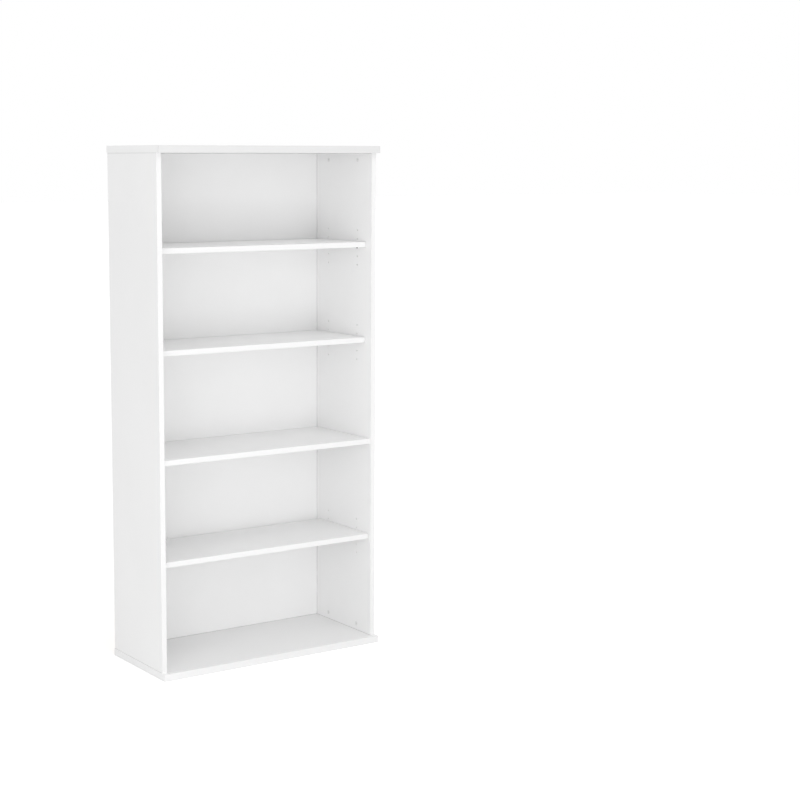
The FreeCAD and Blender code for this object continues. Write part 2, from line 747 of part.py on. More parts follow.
make_slab("top", "ceiling", "overall_height", "-Z")
make_slab("base", "0", "deck", "+Z")
make_side("left_side_panel", -1)
make_side("right_side_panel", 1)
make_back()
make_middle_shelf()
for shelf_name in SHELVES:
    make_adjustable_shelf(shelf_name)
    for pin_side, side_name in ((-1, "left"), (1, "right")):
        for pin_column in COLUMNS:
            pin_label = f"{shelf_name}_shelf_pin_{pin_column}_{side_name}"
            make_pin(pin_label, pin_side, pin_column, shelf_name)
make_fittings()
doc.recompute()
check_document()
write_parts()
print(f"{len(nodes)} sub-parts, {sum(len(node.Shape.Solids) for node in nodes)} solids")
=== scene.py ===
"""Finishes an open bookcase of white laminated board, and stands it in a pale studio.

The case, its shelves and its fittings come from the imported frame. This file gives every one of them
its material, and adds the floor, the lights and the camera. Lengths are in metres, +Z is up and the
open front faces -Y.
"""

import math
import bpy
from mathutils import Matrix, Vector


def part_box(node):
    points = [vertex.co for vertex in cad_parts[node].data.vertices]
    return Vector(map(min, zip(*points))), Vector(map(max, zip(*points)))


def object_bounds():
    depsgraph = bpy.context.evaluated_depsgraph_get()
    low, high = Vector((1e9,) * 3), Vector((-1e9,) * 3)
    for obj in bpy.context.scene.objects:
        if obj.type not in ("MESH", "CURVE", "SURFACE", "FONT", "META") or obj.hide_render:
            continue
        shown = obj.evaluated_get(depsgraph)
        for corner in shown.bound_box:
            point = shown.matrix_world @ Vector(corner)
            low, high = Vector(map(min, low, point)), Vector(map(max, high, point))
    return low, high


bl_info = {
    "name": "Open bookcase",
    "version": (1, 0, 0),
    "blender": (4, 5, 0),
    "location": "3D View > Sidebar > Bookcase",
    "description": "Finishes the boards and fittings of an open bookcase and lights it",
    "category": "Object",
}

import bpy
from bpy.props import FloatProperty, FloatVectorProperty, PointerProperty
from bpy.types import Operator, Panel, PropertyGroup
from mathutils import Vector

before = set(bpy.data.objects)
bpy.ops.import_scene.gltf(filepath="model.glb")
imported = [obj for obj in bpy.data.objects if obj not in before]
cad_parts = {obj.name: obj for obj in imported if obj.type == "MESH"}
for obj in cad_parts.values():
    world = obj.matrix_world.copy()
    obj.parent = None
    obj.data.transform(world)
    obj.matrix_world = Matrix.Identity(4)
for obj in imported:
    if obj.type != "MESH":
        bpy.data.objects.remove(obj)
CAD_LOW, CAD_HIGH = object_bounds()

SHELVES = ("upper_shelf", "second_shelf", "lower_shelf")
JOINTS = ("top", "base", "middle_shelf")

# board: the axis across its two laminated faces, and the axes along which it meets other boards
BOARDS = {
    "top_panel": ("Z", "XY"),
    "base_panel": ("Z", "X"),
    "left_side_panel": ("X", "Z"),
    "right_side_panel": ("X", "Z"),
    "middle_shelf": ("Z", "XY"),
}

# softbox: where it stands from the middle of the case, its width and the setting for its power
SOFTBOXES = {
    "front_softbox": ((-0.5, -3.0, -0.2), 1.2, "front_light"),
    "side_softbox": ((-4.0, -3.5, 0.6), 3.0, "side_light"),
    "high_softbox": ((0.5, -2.0, 2.6), 1.5, "high_light"),
}

MILLIMETRE = 0.001

# relief of each surface, from its hollows to its tops
MELAMINE_RELIEF = 0.02 * MILLIMETRE
CHIPBOARD_RELIEF = 0.25 * MILLIMETRE
BANDING_RELIEF = 0.012 * MILLIMETRE
FIBRE_RELIEF = 0.12 * MILLIMETRE
BEECH_RELIEF = 0.08 * MILLIMETRE
PLATED_RELIEF = 0.012 * MILLIMETRE
METAL_RELIEF = 0.02 * MILLIMETRE

# width of the lines of painted shade where boards meet, and how much of the white is left in them
BOARD_SHADE_WIDTH = 1.6 * MILLIMETRE
BACK_SHADE_WIDTH = 3.0 * MILLIMETRE
SEAM_SHADE = 0.45

# depth at which a cam's coat starts to give way to bare zinc, and at which it is gone
COAT_ENDS = (0.2 * MILLIMETRE, 0.6 * MILLIMETRE)
# distance inside a cam's rim at which its ring of painted shade starts, and at which it is darkest
RIM_SHADE = (1.3 * MILLIMETRE, 0.4 * MILLIMETRE)

# roughness that hand-polished patches take away, and that dust, rubbing and a bare core add
POLISH = 0.08
DUSTY = 0.3
RUBBED = 0.2
BARE = 0.45
# how much the roughness changes across the lines drawn along a strip of banding
DRAWN = 0.10

FLOOR_REACH = 60.0
FLOOR_DROP = 0.2 * MILLIMETRE


def inner_case():
    """Low and high corner of the space between the sides, the base, the top and the back."""
    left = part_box("left_side_panel")[1].x
    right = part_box("right_side_panel")[0].x
    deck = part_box("base_panel")[1].z
    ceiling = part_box("top_panel")[0].z
    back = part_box("back_panel")[0].y
    return Vector((left, CAD_LOW.y, deck)), Vector((right, back, ceiling))


# ---------------------------------------------------------------- settings


def colour_property(name, description, default):
    """A colour, in linear values."""
    return FloatVectorProperty(name=name, description=description, subtype="COLOR", size=3,
                               default=default, min=0.0, max=1.0)


def share_property(name, description, default):
    """A share from 0 to 1."""
    return FloatProperty(name=name, description=description, subtype="FACTOR",
                         default=default, min=0.0, max=1.0)


def length_property(name, description, default):
    """A length in metres."""
    return FloatProperty(name=name, description=description, subtype="DISTANCE", unit="LENGTH",
                         default=default)


def angle_property(name, description, degrees):
    """An angle, given in degrees and kept in radians."""
    return FloatProperty(name=name, description=description, subtype="ANGLE",
                         default=math.radians(degrees))


def power_property(name, description, default):
    """A light's power in watts."""
    return FloatProperty(name=name, description=description, unit="POWER", default=default,
                         min=0.0)


class BoardFinish(PropertyGroup):
    """Colours and gloss of the boards, their edge banding and the back."""

    laminate: colour_property(
        "Laminate", "Melamine face of the boards", (0.91, 0.91, 0.91))
    laminate_roughness: share_property(
        "Laminate roughness", "Satin sheen of the melamine face", 0.42)
    band: colour_property(
        "Front banding", "Plastic strips on the fronts of the boards", (0.82, 0.82, 0.82))
    end_band: colour_property(
        "End banding", "Plastic strips on the ends of the top and the base", (0.91, 0.91, 0.91))
    band_roughness: share_property(
        "Banding roughness", "The strip is a little glossier than the faces", 0.34)
    # painted shade: the top's front strip gets a greyer copy of the banding, darker where less light
    # falls on it
    top_front: colour_property(
        "Top's front banding", "Strip along the top panel's front, a little greyer",
        (0.71, 0.71, 0.71))
    chip_light: colour_property(
        "Pale chips", "Pale chips in the boards' core", (0.60, 0.44, 0.27))
    chip_dark: colour_property(
        "Dark chips", "Dark chips in the boards' core", (0.30, 0.18, 0.09))
    # painted light, partly: in the drilled holes this pale colour takes the place of the brown core
    # and lifts the shade inside them; on the loose shelves' bare edges it is their colour
    fill_and_lift: colour_property(
        "Fill_and_lift", "Pale sealer in the drilled holes and on the loose shelves' bare edges",
        (0.86, 0.86, 0.85))
    back_foil: colour_property(
        "Back's foil", "White foil on the front of the back panel", (0.90, 0.90, 0.90))
    back_fibre: colour_property(
        "Back's fibre", "Bare fibreboard on the rear of the back panel", (0.47, 0.33, 0.20))
    # painted shade: how dark the lines of shade are where two boards meet
    seam: share_property(
        "Joint lines", "How dark the lines are where two boards meet", 0.8)
    dust: share_property(
        "Dust", "How much the upward faces have lost of their sheen", 0.25)


class FittingFinish(PropertyGroup):
    """Colours of the pins, cams, bolts, dowels and nails."""

    nickel: colour_property("Nickel", "Dark plating of the shelf pins", (0.12, 0.12, 0.117))
    cam_coat: colour_property("Cam coating", "White coat of the cam locks", (0.84, 0.84, 0.84))
    cam_metal: colour_property("Cam metal", "Bare zinc inside the cams' slots", (0.60, 0.60, 0.60))
    bolt: colour_property("Cam bolts", "Zinc plated steel", (0.58, 0.58, 0.56))
    beech_light: colour_property("Pale beech", "Between the dowels' fibres", (0.72, 0.53, 0.34))
    beech_dark: colour_property("Dark beech", "The dowels' fibres", (0.50, 0.33, 0.18))
    nail: colour_property("Nails", "Bright steel", (0.55, 0.54, 0.52))


class StageSettings(PropertyGroup):
    """Camera, floor and light."""

    distance: length_property("Distance", "Camera to the case's upright axis", 6.153)
    azimuth: angle_property("Azimuth", "Camera to the left of straight ahead", 30.70)
    height: length_property("Height", "Camera above the floor", 1.804)
    heading: angle_property("Heading", "Way the camera looks, right of straight ahead", 33.19)
    tilt: angle_property("Tilt", "How far the camera looks down", 7.27)
    lens: FloatProperty(name="Lens", description="Focal length in millimetres", default=76.68)
    shift_x: FloatProperty(name="Shift across", description="Lens shift in frame widths",
                           default=0.10)
    shift_y: FloatProperty(name="Shift up", description="Lens shift in frame widths",
                           default=-0.03)
    sky: FloatProperty(name="Surround", description="Light from the white surround", default=0.833)
    front_light: power_property("Front light", "Softbox in front, at half the case's height", 18.3)
    side_light: power_property("Side light", "Softbox on the left", 44.1)
    high_light: power_property("High light", "Softbox above the front", 11.8)
    floor: colour_property("Floor", "Pale studio floor", (0.85, 0.85, 0.85))
    floor_glow: FloatProperty(name="Floor glow", description="The floor's glow seen directly",
                              default=0.40)


# ---------------------------------------------------------------- node nets


class Net:
    """Builds one node tree. Every call adds a node and gives back its output socket."""

    def __init__(self, tree):
        self.tree = tree

    def node(self, kind, inputs=None, **settings):
        """A node with its settings, and its inputs given as values or as sockets."""
        node = self.tree.nodes.new(kind)
        for name, value in settings.items():
            setattr(node, name, value)
        for name, value in (inputs or {}).items():
            self.feed(node.inputs[name], value)
        return node

    def feed(self, socket, value):
        """Link a socket, or set its own value."""
        if isinstance(value, bpy.types.NodeSocket):
            self.tree.links.new(value, socket)
        elif socket.type == "RGBA" and len(value) == 3:
            socket.default_value = (*value, 1.0)
        else:
            socket.default_value = value

    def number(self, operation, *values):
        """A Math node."""
        return self.node("ShaderNodeMath", dict(enumerate(values)), operation=operation).outputs[0]

    def vector(self, operation, *values):
        """A Vector Math node that gives a vector."""
        node = self.node("ShaderNodeVectorMath", dict(enumerate(values)), operation=operation)
        return node.outputs["Vector"]

    def product(self, value, *others):
        """Values multiplied together."""
        for other in others:
            value = self.number("MULTIPLY", value, other)
        return value

    def parts(self, vector):
        """The X, Y and Z of a vector, by name."""
        return self.node("ShaderNodeSeparateXYZ", {"Vector": vector}).outputs

    def least(self, vector):
        """The smallest of a vector's X, Y and Z."""
        parts = self.parts(vector)
        return self.number("MINIMUM", self.number("MINIMUM", parts["X"], parts["Y"]), parts["Z"])

    def place(self):
        """The point on the surface in the object's own coordinates."""
        return self.node("ShaderNodeTexCoord").outputs["Object"]

    def blend(self, share, low, high):
        """A mix of two colours."""
        node = self.node("ShaderNodeMix", data_type="RGBA")
        self.feed(node.inputs["Factor"], share)
        colours = [socket for socket in node.inputs if socket.type == "RGBA"]
        self.feed(colours[0], low)
        self.feed(colours[1], high)
        return next(socket for socket in node.outputs if socket.type == "RGBA")

    def between(self, share, low, high):
        """A number that goes from low to high as the share goes from 0 to 1."""
        return self.node("ShaderNodeMix", {"Factor": share, "A": low, "B": high},
                         data_type="FLOAT").outputs["Result"]

    def ramp(self, value, start, end, low=0.0, high=1.0):
        """A value carried smoothly from low to high while it goes from start to end."""
        return self.node("ShaderNodeMapRange", {
            "Value": value, "From Min": start, "From Max": end, "To Min": low, "To Max": high,
        }, interpolation_type="SMOOTHSTEP").outputs["Result"]

    def noise(self, place, size, detail=2.0, stretch=(1.0, 1.0, 1.0)):
        """Noise from 0 to 1, with lumps of about the size given, longer along a small stretch."""
        scaled = self.vector("MULTIPLY", place, stretch)
        return self.node("ShaderNodeTexNoise", {
            "Vector": scaled, "Scale": 1.0 / size, "Detail": detail,
        }).outputs["Fac"]

    def cells(self, place, size, stretch=(1.0, 1.0, 1.0)):
        """A Voronoi node with cells of about the size given."""
        scaled = self.vector("MULTIPLY", place, stretch)
        return self.node("ShaderNodeTexVoronoi", {"Vector": scaled, "Scale": 1.0 / size}).outputs

    def group(self, effect, **inputs):
        """One of the shared effects, with its own values; gives back all its outputs."""
        node = self.node("ShaderNodeGroup", node_tree=bpy.data.node_groups[effect])
        for name, value in inputs.items():
            self.feed(node.inputs[name.replace("_", " ")], value)
        return node.outputs

    def bump(self, height, depth):
        """A Bump node's normal: depth is the height, in metres, of a value of 1."""
        return self.node("ShaderNodeBump", {"Height": height, "Strength": 1.0, "Distance": depth}
                         ).outputs["Normal"]


# ---------------------------------------------------------------- effects that materials share


def new_effect(name, inputs, outputs):
    """An empty node group with named sockets: its net, its inputs and its output node."""
    tree = bpy.data.node_groups.new(name, "ShaderNodeTree")
    for socket, kind, value in inputs:
        made = tree.interface.new_socket(name=socket, in_out="INPUT", socket_type=kind)
        made.default_value = value
    for socket, kind in outputs:
        tree.interface.new_socket(name=socket, in_out="OUTPUT", socket_type=kind)
    net = Net(tree)
    return net, net.node("NodeGroupInput").outputs, net.node("NodeGroupOutput").inputs


# sockets that several effects have: a point, a box's low and high corner, and a mask
PLACE = ("Place", "NodeSocketVector", (0.0, 0.0, 0.0))
LOW = ("Low", "NodeSocketVector", (0.0, 0.0, 0.0))
HIGH = ("High", "NodeSocketVector", (1.0, 1.0, 1.0))
MASK = ("Mask", "NodeSocketFloat")


def gaps_to_planes(net, given):
    """How far a point is, along each axis, from the nearer of a box's two planes."""
    below = net.vector("ABSOLUTE", net.vector("SUBTRACT", given["Place"], given["Low"]))
    above = net.vector("ABSOLUTE", net.vector("SUBTRACT", given["High"], given["Place"]))
    return net.vector("MINIMUM", below, above)


def make_skin_effect():
    """Mask of the two outer skins of a board: 1 where a level is near either of two others."""
    net, given, result = new_effect(
        "outer_skins",
        [("Level", "NodeSocketFloat", 0.0), ("Low", "NodeSocketFloat", 0.0),
         ("High", "NodeSocketFloat", 0.0), ("Thickness", "NodeSocketFloat", 0.0002)],
        [MASK])
    sides = [net.number("COMPARE", given["Level"], given[side], given["Thickness"])
             for side in ("Low", "High")]
    net.feed(result["Mask"], net.number("MAXIMUM", *sides))


def make_bore_effect():
    """Mask of the drilled holes: 1 where a point is deeper than the margin inside the outline.

    The outline lies across the board's thickness, so the holes in its faces are inside it.
    """
    net, given, result = new_effect(
        "bores",
        [PLACE, LOW, HIGH, ("Across", "NodeSocketVector", (0.0, 0.0, 1.0)),
         ("Margin", "NodeSocketFloat", 0.01)],
        [MASK])
    inside = net.vector("MINIMUM", net.vector("SUBTRACT", given["Place"], given["Low"]),
                        net.vector("SUBTRACT", given["High"], given["Place"]))
    nearest = net.least(net.vector("ADD", inside, given["Across"]))
    net.feed(result["Mask"], net.number("GREATER_THAN", nearest, given["Margin"]))


def make_joint_shade_effect():
    """Painted shade where boards meet: 1 on the planes of a box, fading to 0 at the width.

    Far moves the planes of an axis out of the way.
    """
    net, given, result = new_effect(
        "joint_lines",
        [PLACE, LOW, HIGH, ("Far", "NodeSocketVector", (0.0, 0.0, 0.0)),
         ("Width", "NodeSocketFloat", BOARD_SHADE_WIDTH), ("Amount", "NodeSocketFloat", 0.5)],
        [MASK])
    nearest = net.least(net.vector("ADD", gaps_to_planes(net, given), given["Far"]))
    line = net.ramp(nearest, given["Width"], 0.0)
    uneven = net.ramp(net.noise(given["Place"], 0.05, detail=3.0), 0.2, 0.6, 0.7, 1.0)
    net.feed(result["Mask"], net.product(line, uneven, given["Amount"]))


def make_edge_effect():
    """Wear along a box's edges: 1 on the edge, fading to 0 at the width, broken up by noise."""
    net, given, result = new_effect(
        "edge_wear",
        [PLACE, LOW, HIGH, ("Width", "NodeSocketFloat", 0.002),
         ("Amount", "NodeSocketFloat", 0.5)],
        [MASK])
    gaps = net.parts(gaps_to_planes(net, given))
    nearest = net.number("MINIMUM", gaps["X"], gaps["Y"])
    farther = net.number("MAXIMUM", gaps["X"], gaps["Y"])
    distance = net.number("MAXIMUM", nearest, net.number("MINIMUM", farther, gaps["Z"]))
    near = net.ramp(distance, given["Width"], 0.0)
    broken = net.ramp(net.noise(given["Place"], 0.03, detail=4.0), 0.42, 0.62)
    net.feed(result["Mask"], net.product(near, broken, given["Amount"]))


def make_dust_effect():
    """Soft uneven dust on the faces that look up."""
    net, given, result = new_effect(
        "dust", [PLACE, ("Amount", "NodeSocketFloat", 0.3)], [MASK])
    up = net.parts(net.node("ShaderNodeNewGeometry").outputs["Normal"])["Z"]
    lying = net.ramp(up, 0.5, 0.9)
    patches = net.ramp(net.noise(given["Place"], 0.12, detail=5.0), 0.35, 0.7)
    net.feed(result["Mask"], net.product(lying, patches, given["Amount"]))


def make_melamine_effect():
    """Pressed melamine: pebbled relief, faint clouds of shade and hand-worn patches of gloss."""
    net, given, result = new_effect(
        "melamine",
        [PLACE, ("Pebble", "NodeSocketFloat", 0.0011)],
        [("Height", "NodeSocketFloat"), ("Shade", "NodeSocketFloat"),
         ("Gloss", "NodeSocketFloat")])
    size = net.number("DIVIDE", 1.0, given["Pebble"])
    pebbles = net.node("ShaderNodeTexVoronoi", {"Vector": given["Place"], "Scale": size},
                       feature="SMOOTH_F1").outputs["Distance"]
    press = net.noise(given["Place"], 0.010, detail=1.0)
    net.feed(result["Height"], net.number("ADD", net.product(pebbles, 0.5), press))
    clouds = net.noise(given["Place"], 0.35, detail=3.0)
    specks = net.noise(given["Place"], 0.0016, detail=1.0)
    shade = net.number("ADD", net.ramp(clouds, 0.3, 0.7, 0.0, 0.7),
                       net.ramp(specks, 0.35, 0.65, 0.0, 0.3))
    net.feed(result["Shade"], shade)
    smudges = net.noise(given["Place"], 0.09, detail=4.0, stretch=(1.0, 1.0, 0.6))
    net.feed(result["Gloss"], net.ramp(smudges, 0.38, 0.66))


def make_chipboard_effect():
    """The boards' core where it is bare: flat chips of two tones with dark gaps between them."""
    net, given, result = new_effect(
        "chipboard",
        [PLACE, ("Light", "NodeSocketColor", (0.6, 0.45, 0.3, 1.0)),
         ("Dark", "NodeSocketColor", (0.3, 0.2, 0.1, 1.0))],
        [("Colour", "NodeSocketColor"), ("Height", "NodeSocketFloat")])
    chips = net.cells(given["Place"], 0.0026, stretch=(0.45, 0.45, 1.0))
    tone = net.parts(chips["Color"])["X"]
    gaps = net.ramp(chips["Distance"], 0.25, 0.6)
    fibres = net.noise(given["Place"], 0.0009, detail=3.0)
    mixed = net.number("ADD", net.product(tone, 0.6), net.product(fibres, 0.4))
    chip = net.blend(mixed, given["Light"], given["Dark"])
    hollow = net.vector("MULTIPLY", given["Dark"], (0.45, 0.45, 0.45))
    net.feed(result["Colour"], net.blend(net.product(gaps, 0.55), chip, hollow))
    net.feed(result["Height"], net.number("SUBTRACT", mixed, gaps))


def make_metal_effect():
    """Tumbled metal: fine scratches across each other, pits and cloudy patches of gloss."""
    net, given, result = new_effect(
        "metal_surface",
        [PLACE, ("Scratch", "NodeSocketFloat", 0.0008)],
        [("Height", "NodeSocketFloat"), ("Gloss", "NodeSocketFloat"),
         ("Tarnish", "NodeSocketFloat")])
    scaled = net.vector("DIVIDE", given["Place"], given["Scratch"])
    across = net.noise(scaled, 1.0, detail=3.0, stretch=(0.12, 1.0, 1.6))
    along = net.noise(scaled, 1.0, detail=3.0, stretch=(1.4, 0.15, 0.8))
    pits = net.ramp(net.cells(given["Place"], 0.0007)["Distance"], 0.05, 0.25)
    scratches = net.number("ADD", across, along)
    net.feed(result["Height"], net.number("ADD", scratches, net.product(pits, 0.4)))
    net.feed(result["Gloss"], net.ramp(net.noise(given["Place"], 0.003, detail=3.0), 0.35, 0.65))
    net.feed(result["Tarnish"], net.ramp(net.noise(given["Place"], 0.006, detail=5.0), 0.5, 0.75))


def make_effects():
    """Build every shared effect once."""
    make_skin_effect()
    make_bore_effect()
    make_joint_shade_effect()
    make_edge_effect()
    make_dust_effect()
    make_melamine_effect()
    make_chipboard_effect()
    make_metal_effect()


# ---------------------------------------------------------------- materials


def new_material(name):
    """A material with an empty Principled shader: the material, its net and its shader."""
    material = bpy.data.materials.new(name)
    material.use_nodes = True
    net = Net(material.node_tree)
    return material, net, material.node_tree.nodes["Principled BSDF"]


def dress(node, material):
    """Give a CAD node its material."""
    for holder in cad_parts[node].material_slots:
        holder.material = material


def joint_lines(net, place, axes, width, finish):
    """Painted shade along the case's inner joints, for a board that meets others along these axes."""
    low, high = inner_case()
    far = [float(name not in axes) for name in "XYZ"]
    return net.group("joint_lines", Place=place, Low=low, High=high, Far=far, Width=width,
                     Amount=finish.seam)["Mask"]


def laminated_board(node, across, meets, finish):
    """White melamine on a board's two faces, and a pale fill in its bores, in place of the brown
    core: painted light that lifts the shade inside them.

    A board that meets others has painted shade along its joints and bare chipboard edges; a loose one
    has the pale fill on its bare edges.
    """
    low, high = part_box(node)
    material, net, shader = new_material(f"{node}_laminate")
    place = net.place()
    axis = "XYZ".index(across)
    skin = net.group("outer_skins", Level=net.parts(place)[across], Low=low[axis],
                     High=high[axis])["Mask"]
    face = net.group("melamine", Place=place)
    worn = net.group("edge_wear", Place=place, Low=low, High=high, Amount=0.5)["Mask"]
    dust = net.group("dust", Place=place, Amount=finish.dust)["Mask"]

    white = Vector(finish.laminate)
    cloud = white * 0.975
    scuff = white * 0.90
    surface = net.blend(worn, net.blend(face["Shade"], white, cloud), scuff)
    # painted light: the pale fill in the bores lifts the shade inside them; on a loose shelf's bare
    # edges it is their colour
    fill_and_lift = Vector(finish.fill_and_lift)
    thin_fill_and_lift = fill_and_lift * 0.93
    under = net.blend(face["Shade"], fill_and_lift, thin_fill_and_lift)
    rough = face["Height"]
    if meets:
        # painted shade along the lines where this board meets the others
        line = joint_lines(net, place, meets, BOARD_SHADE_WIDTH, finish)
        surface = net.blend(line, surface, white * SEAM_SHADE)
        core = net.group("chipboard", Place=place, Light=finish.chip_light, Dark=finish.chip_dark)
        bore = net.group("bores", Place=place, Across=[float(name == across) for name in "XYZ"],
                         Low=low, High=high)["Mask"]
        under = net.blend(bore, core["Colour"], under)
        rough = core["Height"]
    net.feed(shader.inputs["Base Color"], net.blend(skin, under, surface))

    dullest = finish.laminate_roughness + POLISH / 2
    sheen = net.number("MULTIPLY_ADD", face["Gloss"], -POLISH, dullest)
    dusted = net.number("MULTIPLY_ADD", dust, DUSTY, sheen)
    bare = net.product(net.number("SUBTRACT", 1.0, skin), BARE)
    net.feed(shader.inputs["Roughness"], net.number("ADD", dusted, bare))

    pebbled = net.product(face["Height"], MELAMINE_RELIEF)
    chipped = net.product(rough, CHIPBOARD_RELIEF)
    net.feed(shader.inputs["Normal"], net.bump(net.between(skin, chipped, pebbled), 1.0))
    dress(node, material)


def band_colour(node, finish):
    """The colour of one strip of banding; the top's front strip takes a greyer copy, painted shade.
    """
    if node == "top_front_band":
        # painted shade: greyer copy of the banding on the top's front strip
        return finish.top_front
    return finish.end_band if node.endswith("_end_band") else finish.band


def edge_band(node, finish):
    """Plastic edge banding: faint lines drawn along its run, and rubbed edges."""
    low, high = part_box(node)
    size = high - low
    run = max(range(3), key=lambda axis: size[axis])
    material, net, shader = new_material(f"{node}_plastic")
    place = net.place()
    stretch = [0.02 if axis == run else 1.0 for axis in range(3)]
    drawn = net.noise(place, 0.0012, detail=2.0, stretch=stretch)
    face = net.group("melamine", Place=place, Pebble=0.0007)
    worn = net.group("edge_wear", Place=place, Low=low, High=high, Width=0.0012,
                     Amount=0.6)["Mask"]

    white = Vector(band_colour(node, finish))
    streak = white * 0.965
    scuff = white * 0.88
    streaked = net.blend(net.product(drawn, face["Shade"]), white, streak)
    net.feed(shader.inputs["Base Color"], net.blend(worn, streaked, scuff))
    glossiest = finish.band_roughness - DRAWN / 2
    sheen = net.number("MULTIPLY_ADD", drawn, DRAWN, glossiest)
    net.feed(shader.inputs["Roughness"], net.number("MULTIPLY_ADD", worn, RUBBED, sheen))
    ridges = net.number("ADD", drawn, net.product(face["Height"], 0.3))
    net.feed(shader.inputs["Normal"], net.bump(ridges, BANDING_RELIEF))
    dress(node, material)


def back_board(node, finish):
    """Thin fibreboard: white foil on its front with painted shade in its corners, bare pressed fibre
    behind and on its edges.
    """
    low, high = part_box(node)
    material, net, shader = new_material(f"{node}_fibreboard")
    place = net.place()
    foil = net.group("outer_skins", Level=net.parts(place)["Y"], Low=low.y, High=low.y)["Mask"]
    face = net.group("melamine", Place=place, Pebble=0.0016)
    tangle = net.noise(place, 0.0022, detail=6.0)
    bundles = net.noise(place, 0.014, detail=4.0, stretch=(1.0, 1.0, 0.35))
    screen = net.cells(place, 0.0014)["Distance"]

    white = Vector(finish.back_foil)
    cloud = white * 0.97
    # painted shade in the corners where the back meets the sides, the base and the top
    line = joint_lines(net, place, "XZ", BACK_SHADE_WIDTH, finish)
    front = net.blend(line, net.blend(face["Shade"], white, cloud), white * SEAM_SHADE)
    brown = Vector(finish.back_fibre)
    pale_fibre = brown * 1.12
    dark_fibre = brown * 0.72
    dark_bundle = brown * 0.5
    mottled = net.blend(net.ramp(tangle, 0.35, 0.65), pale_fibre, dark_fibre)
    rear = net.blend(net.ramp(bundles, 0.55, 0.72, 0.0, 0.5), mottled, dark_bundle)
    net.feed(shader.inputs["Base Color"], net.blend(foil, rear, front))
    gloss = net.number("MULTIPLY_ADD", foil, -0.33, 0.85)
    net.feed(shader.inputs["Roughness"], net.number("MULTIPLY_ADD", face["Gloss"], -0.05, gloss))
    fuzz = net.product(net.number("ADD", tangle, screen), FIBRE_RELIEF)
    smooth = net.product(face["Height"], MELAMINE_RELIEF)
    net.feed(shader.inputs["Normal"], net.bump(net.between(foil, fuzz, smooth), 1.0))
    dress(node, material)


def metal(name, colour, roughness, tarnish, depth):
    """Plated or bright metal with scratches and a little tarnish."""
    material, net, shader = new_material(name)
    place = net.place()
    surface = net.group("metal_surface", Place=place)
    bright = Vector(colour)
    dulled = bright * 0.45
    spots = net.product(surface["Tarnish"], tarnish)
    net.feed(shader.inputs["Base Color"], net.blend(spots, bright, dulled))
    worn = net.number("MULTIPLY_ADD", surface["Gloss"], 0.14, roughness)
    net.feed(shader.inputs["Roughness"], net.number("MULTIPLY_ADD", spots, 0.25, worn))
    net.feed(shader.inputs["Normal"], net.bump(surface["Height"], depth))
    shader.inputs["Metallic"].default_value = 1.0
    return material


def from_cam_centre(net, place, node, axis, radius):
    """How far a point is from the axis of the nearest cam of a node.

    The cams touch the sides of the node's box, so their axes are one radius inside it.
    """
    low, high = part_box(node)
    offsets = []
    for index, name in enumerate("XYZ"):
        if name != axis:
            middle = (low[index] + high[index]) / 2
            reach = (high[index] - low[index]) / 2 - radius
            offset = net.number("ABSOLUTE", net.number("SUBTRACT", net.parts(place)[name], middle))
            offsets.append(net.number("POWER", net.number("SUBTRACT", offset, reach), 2.0))
    return net.number("SQRT", net.number("ADD", *offsets))


def coated_cam(node, finish, axis, face):
    """White coat on a cam's face, with a ring of painted shade at its rim drawn as bare zinc; bare
    zinc in the slot and round the disc.
    """
    material, net, shader = new_material(f"{node}_coated_zinc")
    place = net.place()
    level = net.number("ABSOLUTE", net.parts(place)[axis])
    sunk = net.ramp(net.number("SUBTRACT", level, abs(face)), *COAT_ENDS)
    surface = net.group("metal_surface", Place=place, Scratch=0.0012)
    white = Vector(finish.cam_coat)
    cloud = white * 0.93
    zinc = Vector(finish.cam_metal)
    dulled = zinc * 0.6
    lowest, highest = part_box("top_cam_locks")
    radius = (highest.z - lowest.z) / 2
    distance = from_cam_centre(net, place, node, axis, radius)
    # painted shade: the ring of bare zinc at the rim stands for the shade in the gap and chamfer
    # round the cam
    rim_shade_start, rim_shade_full = RIM_SHADE
    rim = net.ramp(distance, radius - rim_shade_start, radius - rim_shade_full, 0.0, 0.7)
    coat = net.blend(rim, net.blend(surface["Gloss"], white, cloud), zinc)
    bare = net.blend(surface["Tarnish"], zinc, dulled)
    net.feed(shader.inputs["Base Color"], net.blend(sunk, coat, bare))
    net.feed(shader.inputs["Metallic"], sunk)
    net.feed(shader.inputs["Roughness"], net.number("MULTIPLY_ADD", surface["Gloss"], 0.12, 0.38))
    net.feed(shader.inputs["Normal"], net.bump(surface["Height"], METAL_RELIEF))
    dress(node, material)


def beech(node, finish, run):
    """Beech with its fibres and flecks along the dowel."""
    material, net, shader = new_material(f"{node}_beech")
    place = net.place()
    along = [0.06 if axis == run else 1.0 for axis in "XYZ"]
    flecked = [0.3 if axis == run else 1.0 for axis in "XYZ"]
    fibres = net.noise(place, 0.0009, detail=4.0, stretch=along)
    flecks = net.ramp(net.cells(place, 0.0012, stretch=flecked)["Distance"], 0.1, 0.3)
    light = Vector(finish.beech_light)
    dark = Vector(finish.beech_dark)
    fleck = dark * 0.8
    wood = net.blend(net.ramp(fibres, 0.35, 0.65), light, dark)
    net.feed(shader.inputs["Base Color"], net.blend(flecks, fleck, wood))
    net.feed(shader.inputs["Roughness"], net.ramp(fibres, 0.3, 0.7, 0.62, 0.78))
    net.feed(shader.inputs["Normal"], net.bump(fibres, BEECH_RELIEF))
    dress(node, material)


# ---------------------------------------------------------------- the operators


class BOOKCASE_OT_boards(Operator):
    """Finish the five boards of the case"""

    bl_idname = "bookcase.boards"
    bl_label = "Case boards"

    def execute(self, context):
        for node, (across, meets) in BOARDS.items():
            laminated_board(node, across, meets, context.scene.bookcase_boards)
        return {"FINISHED"}


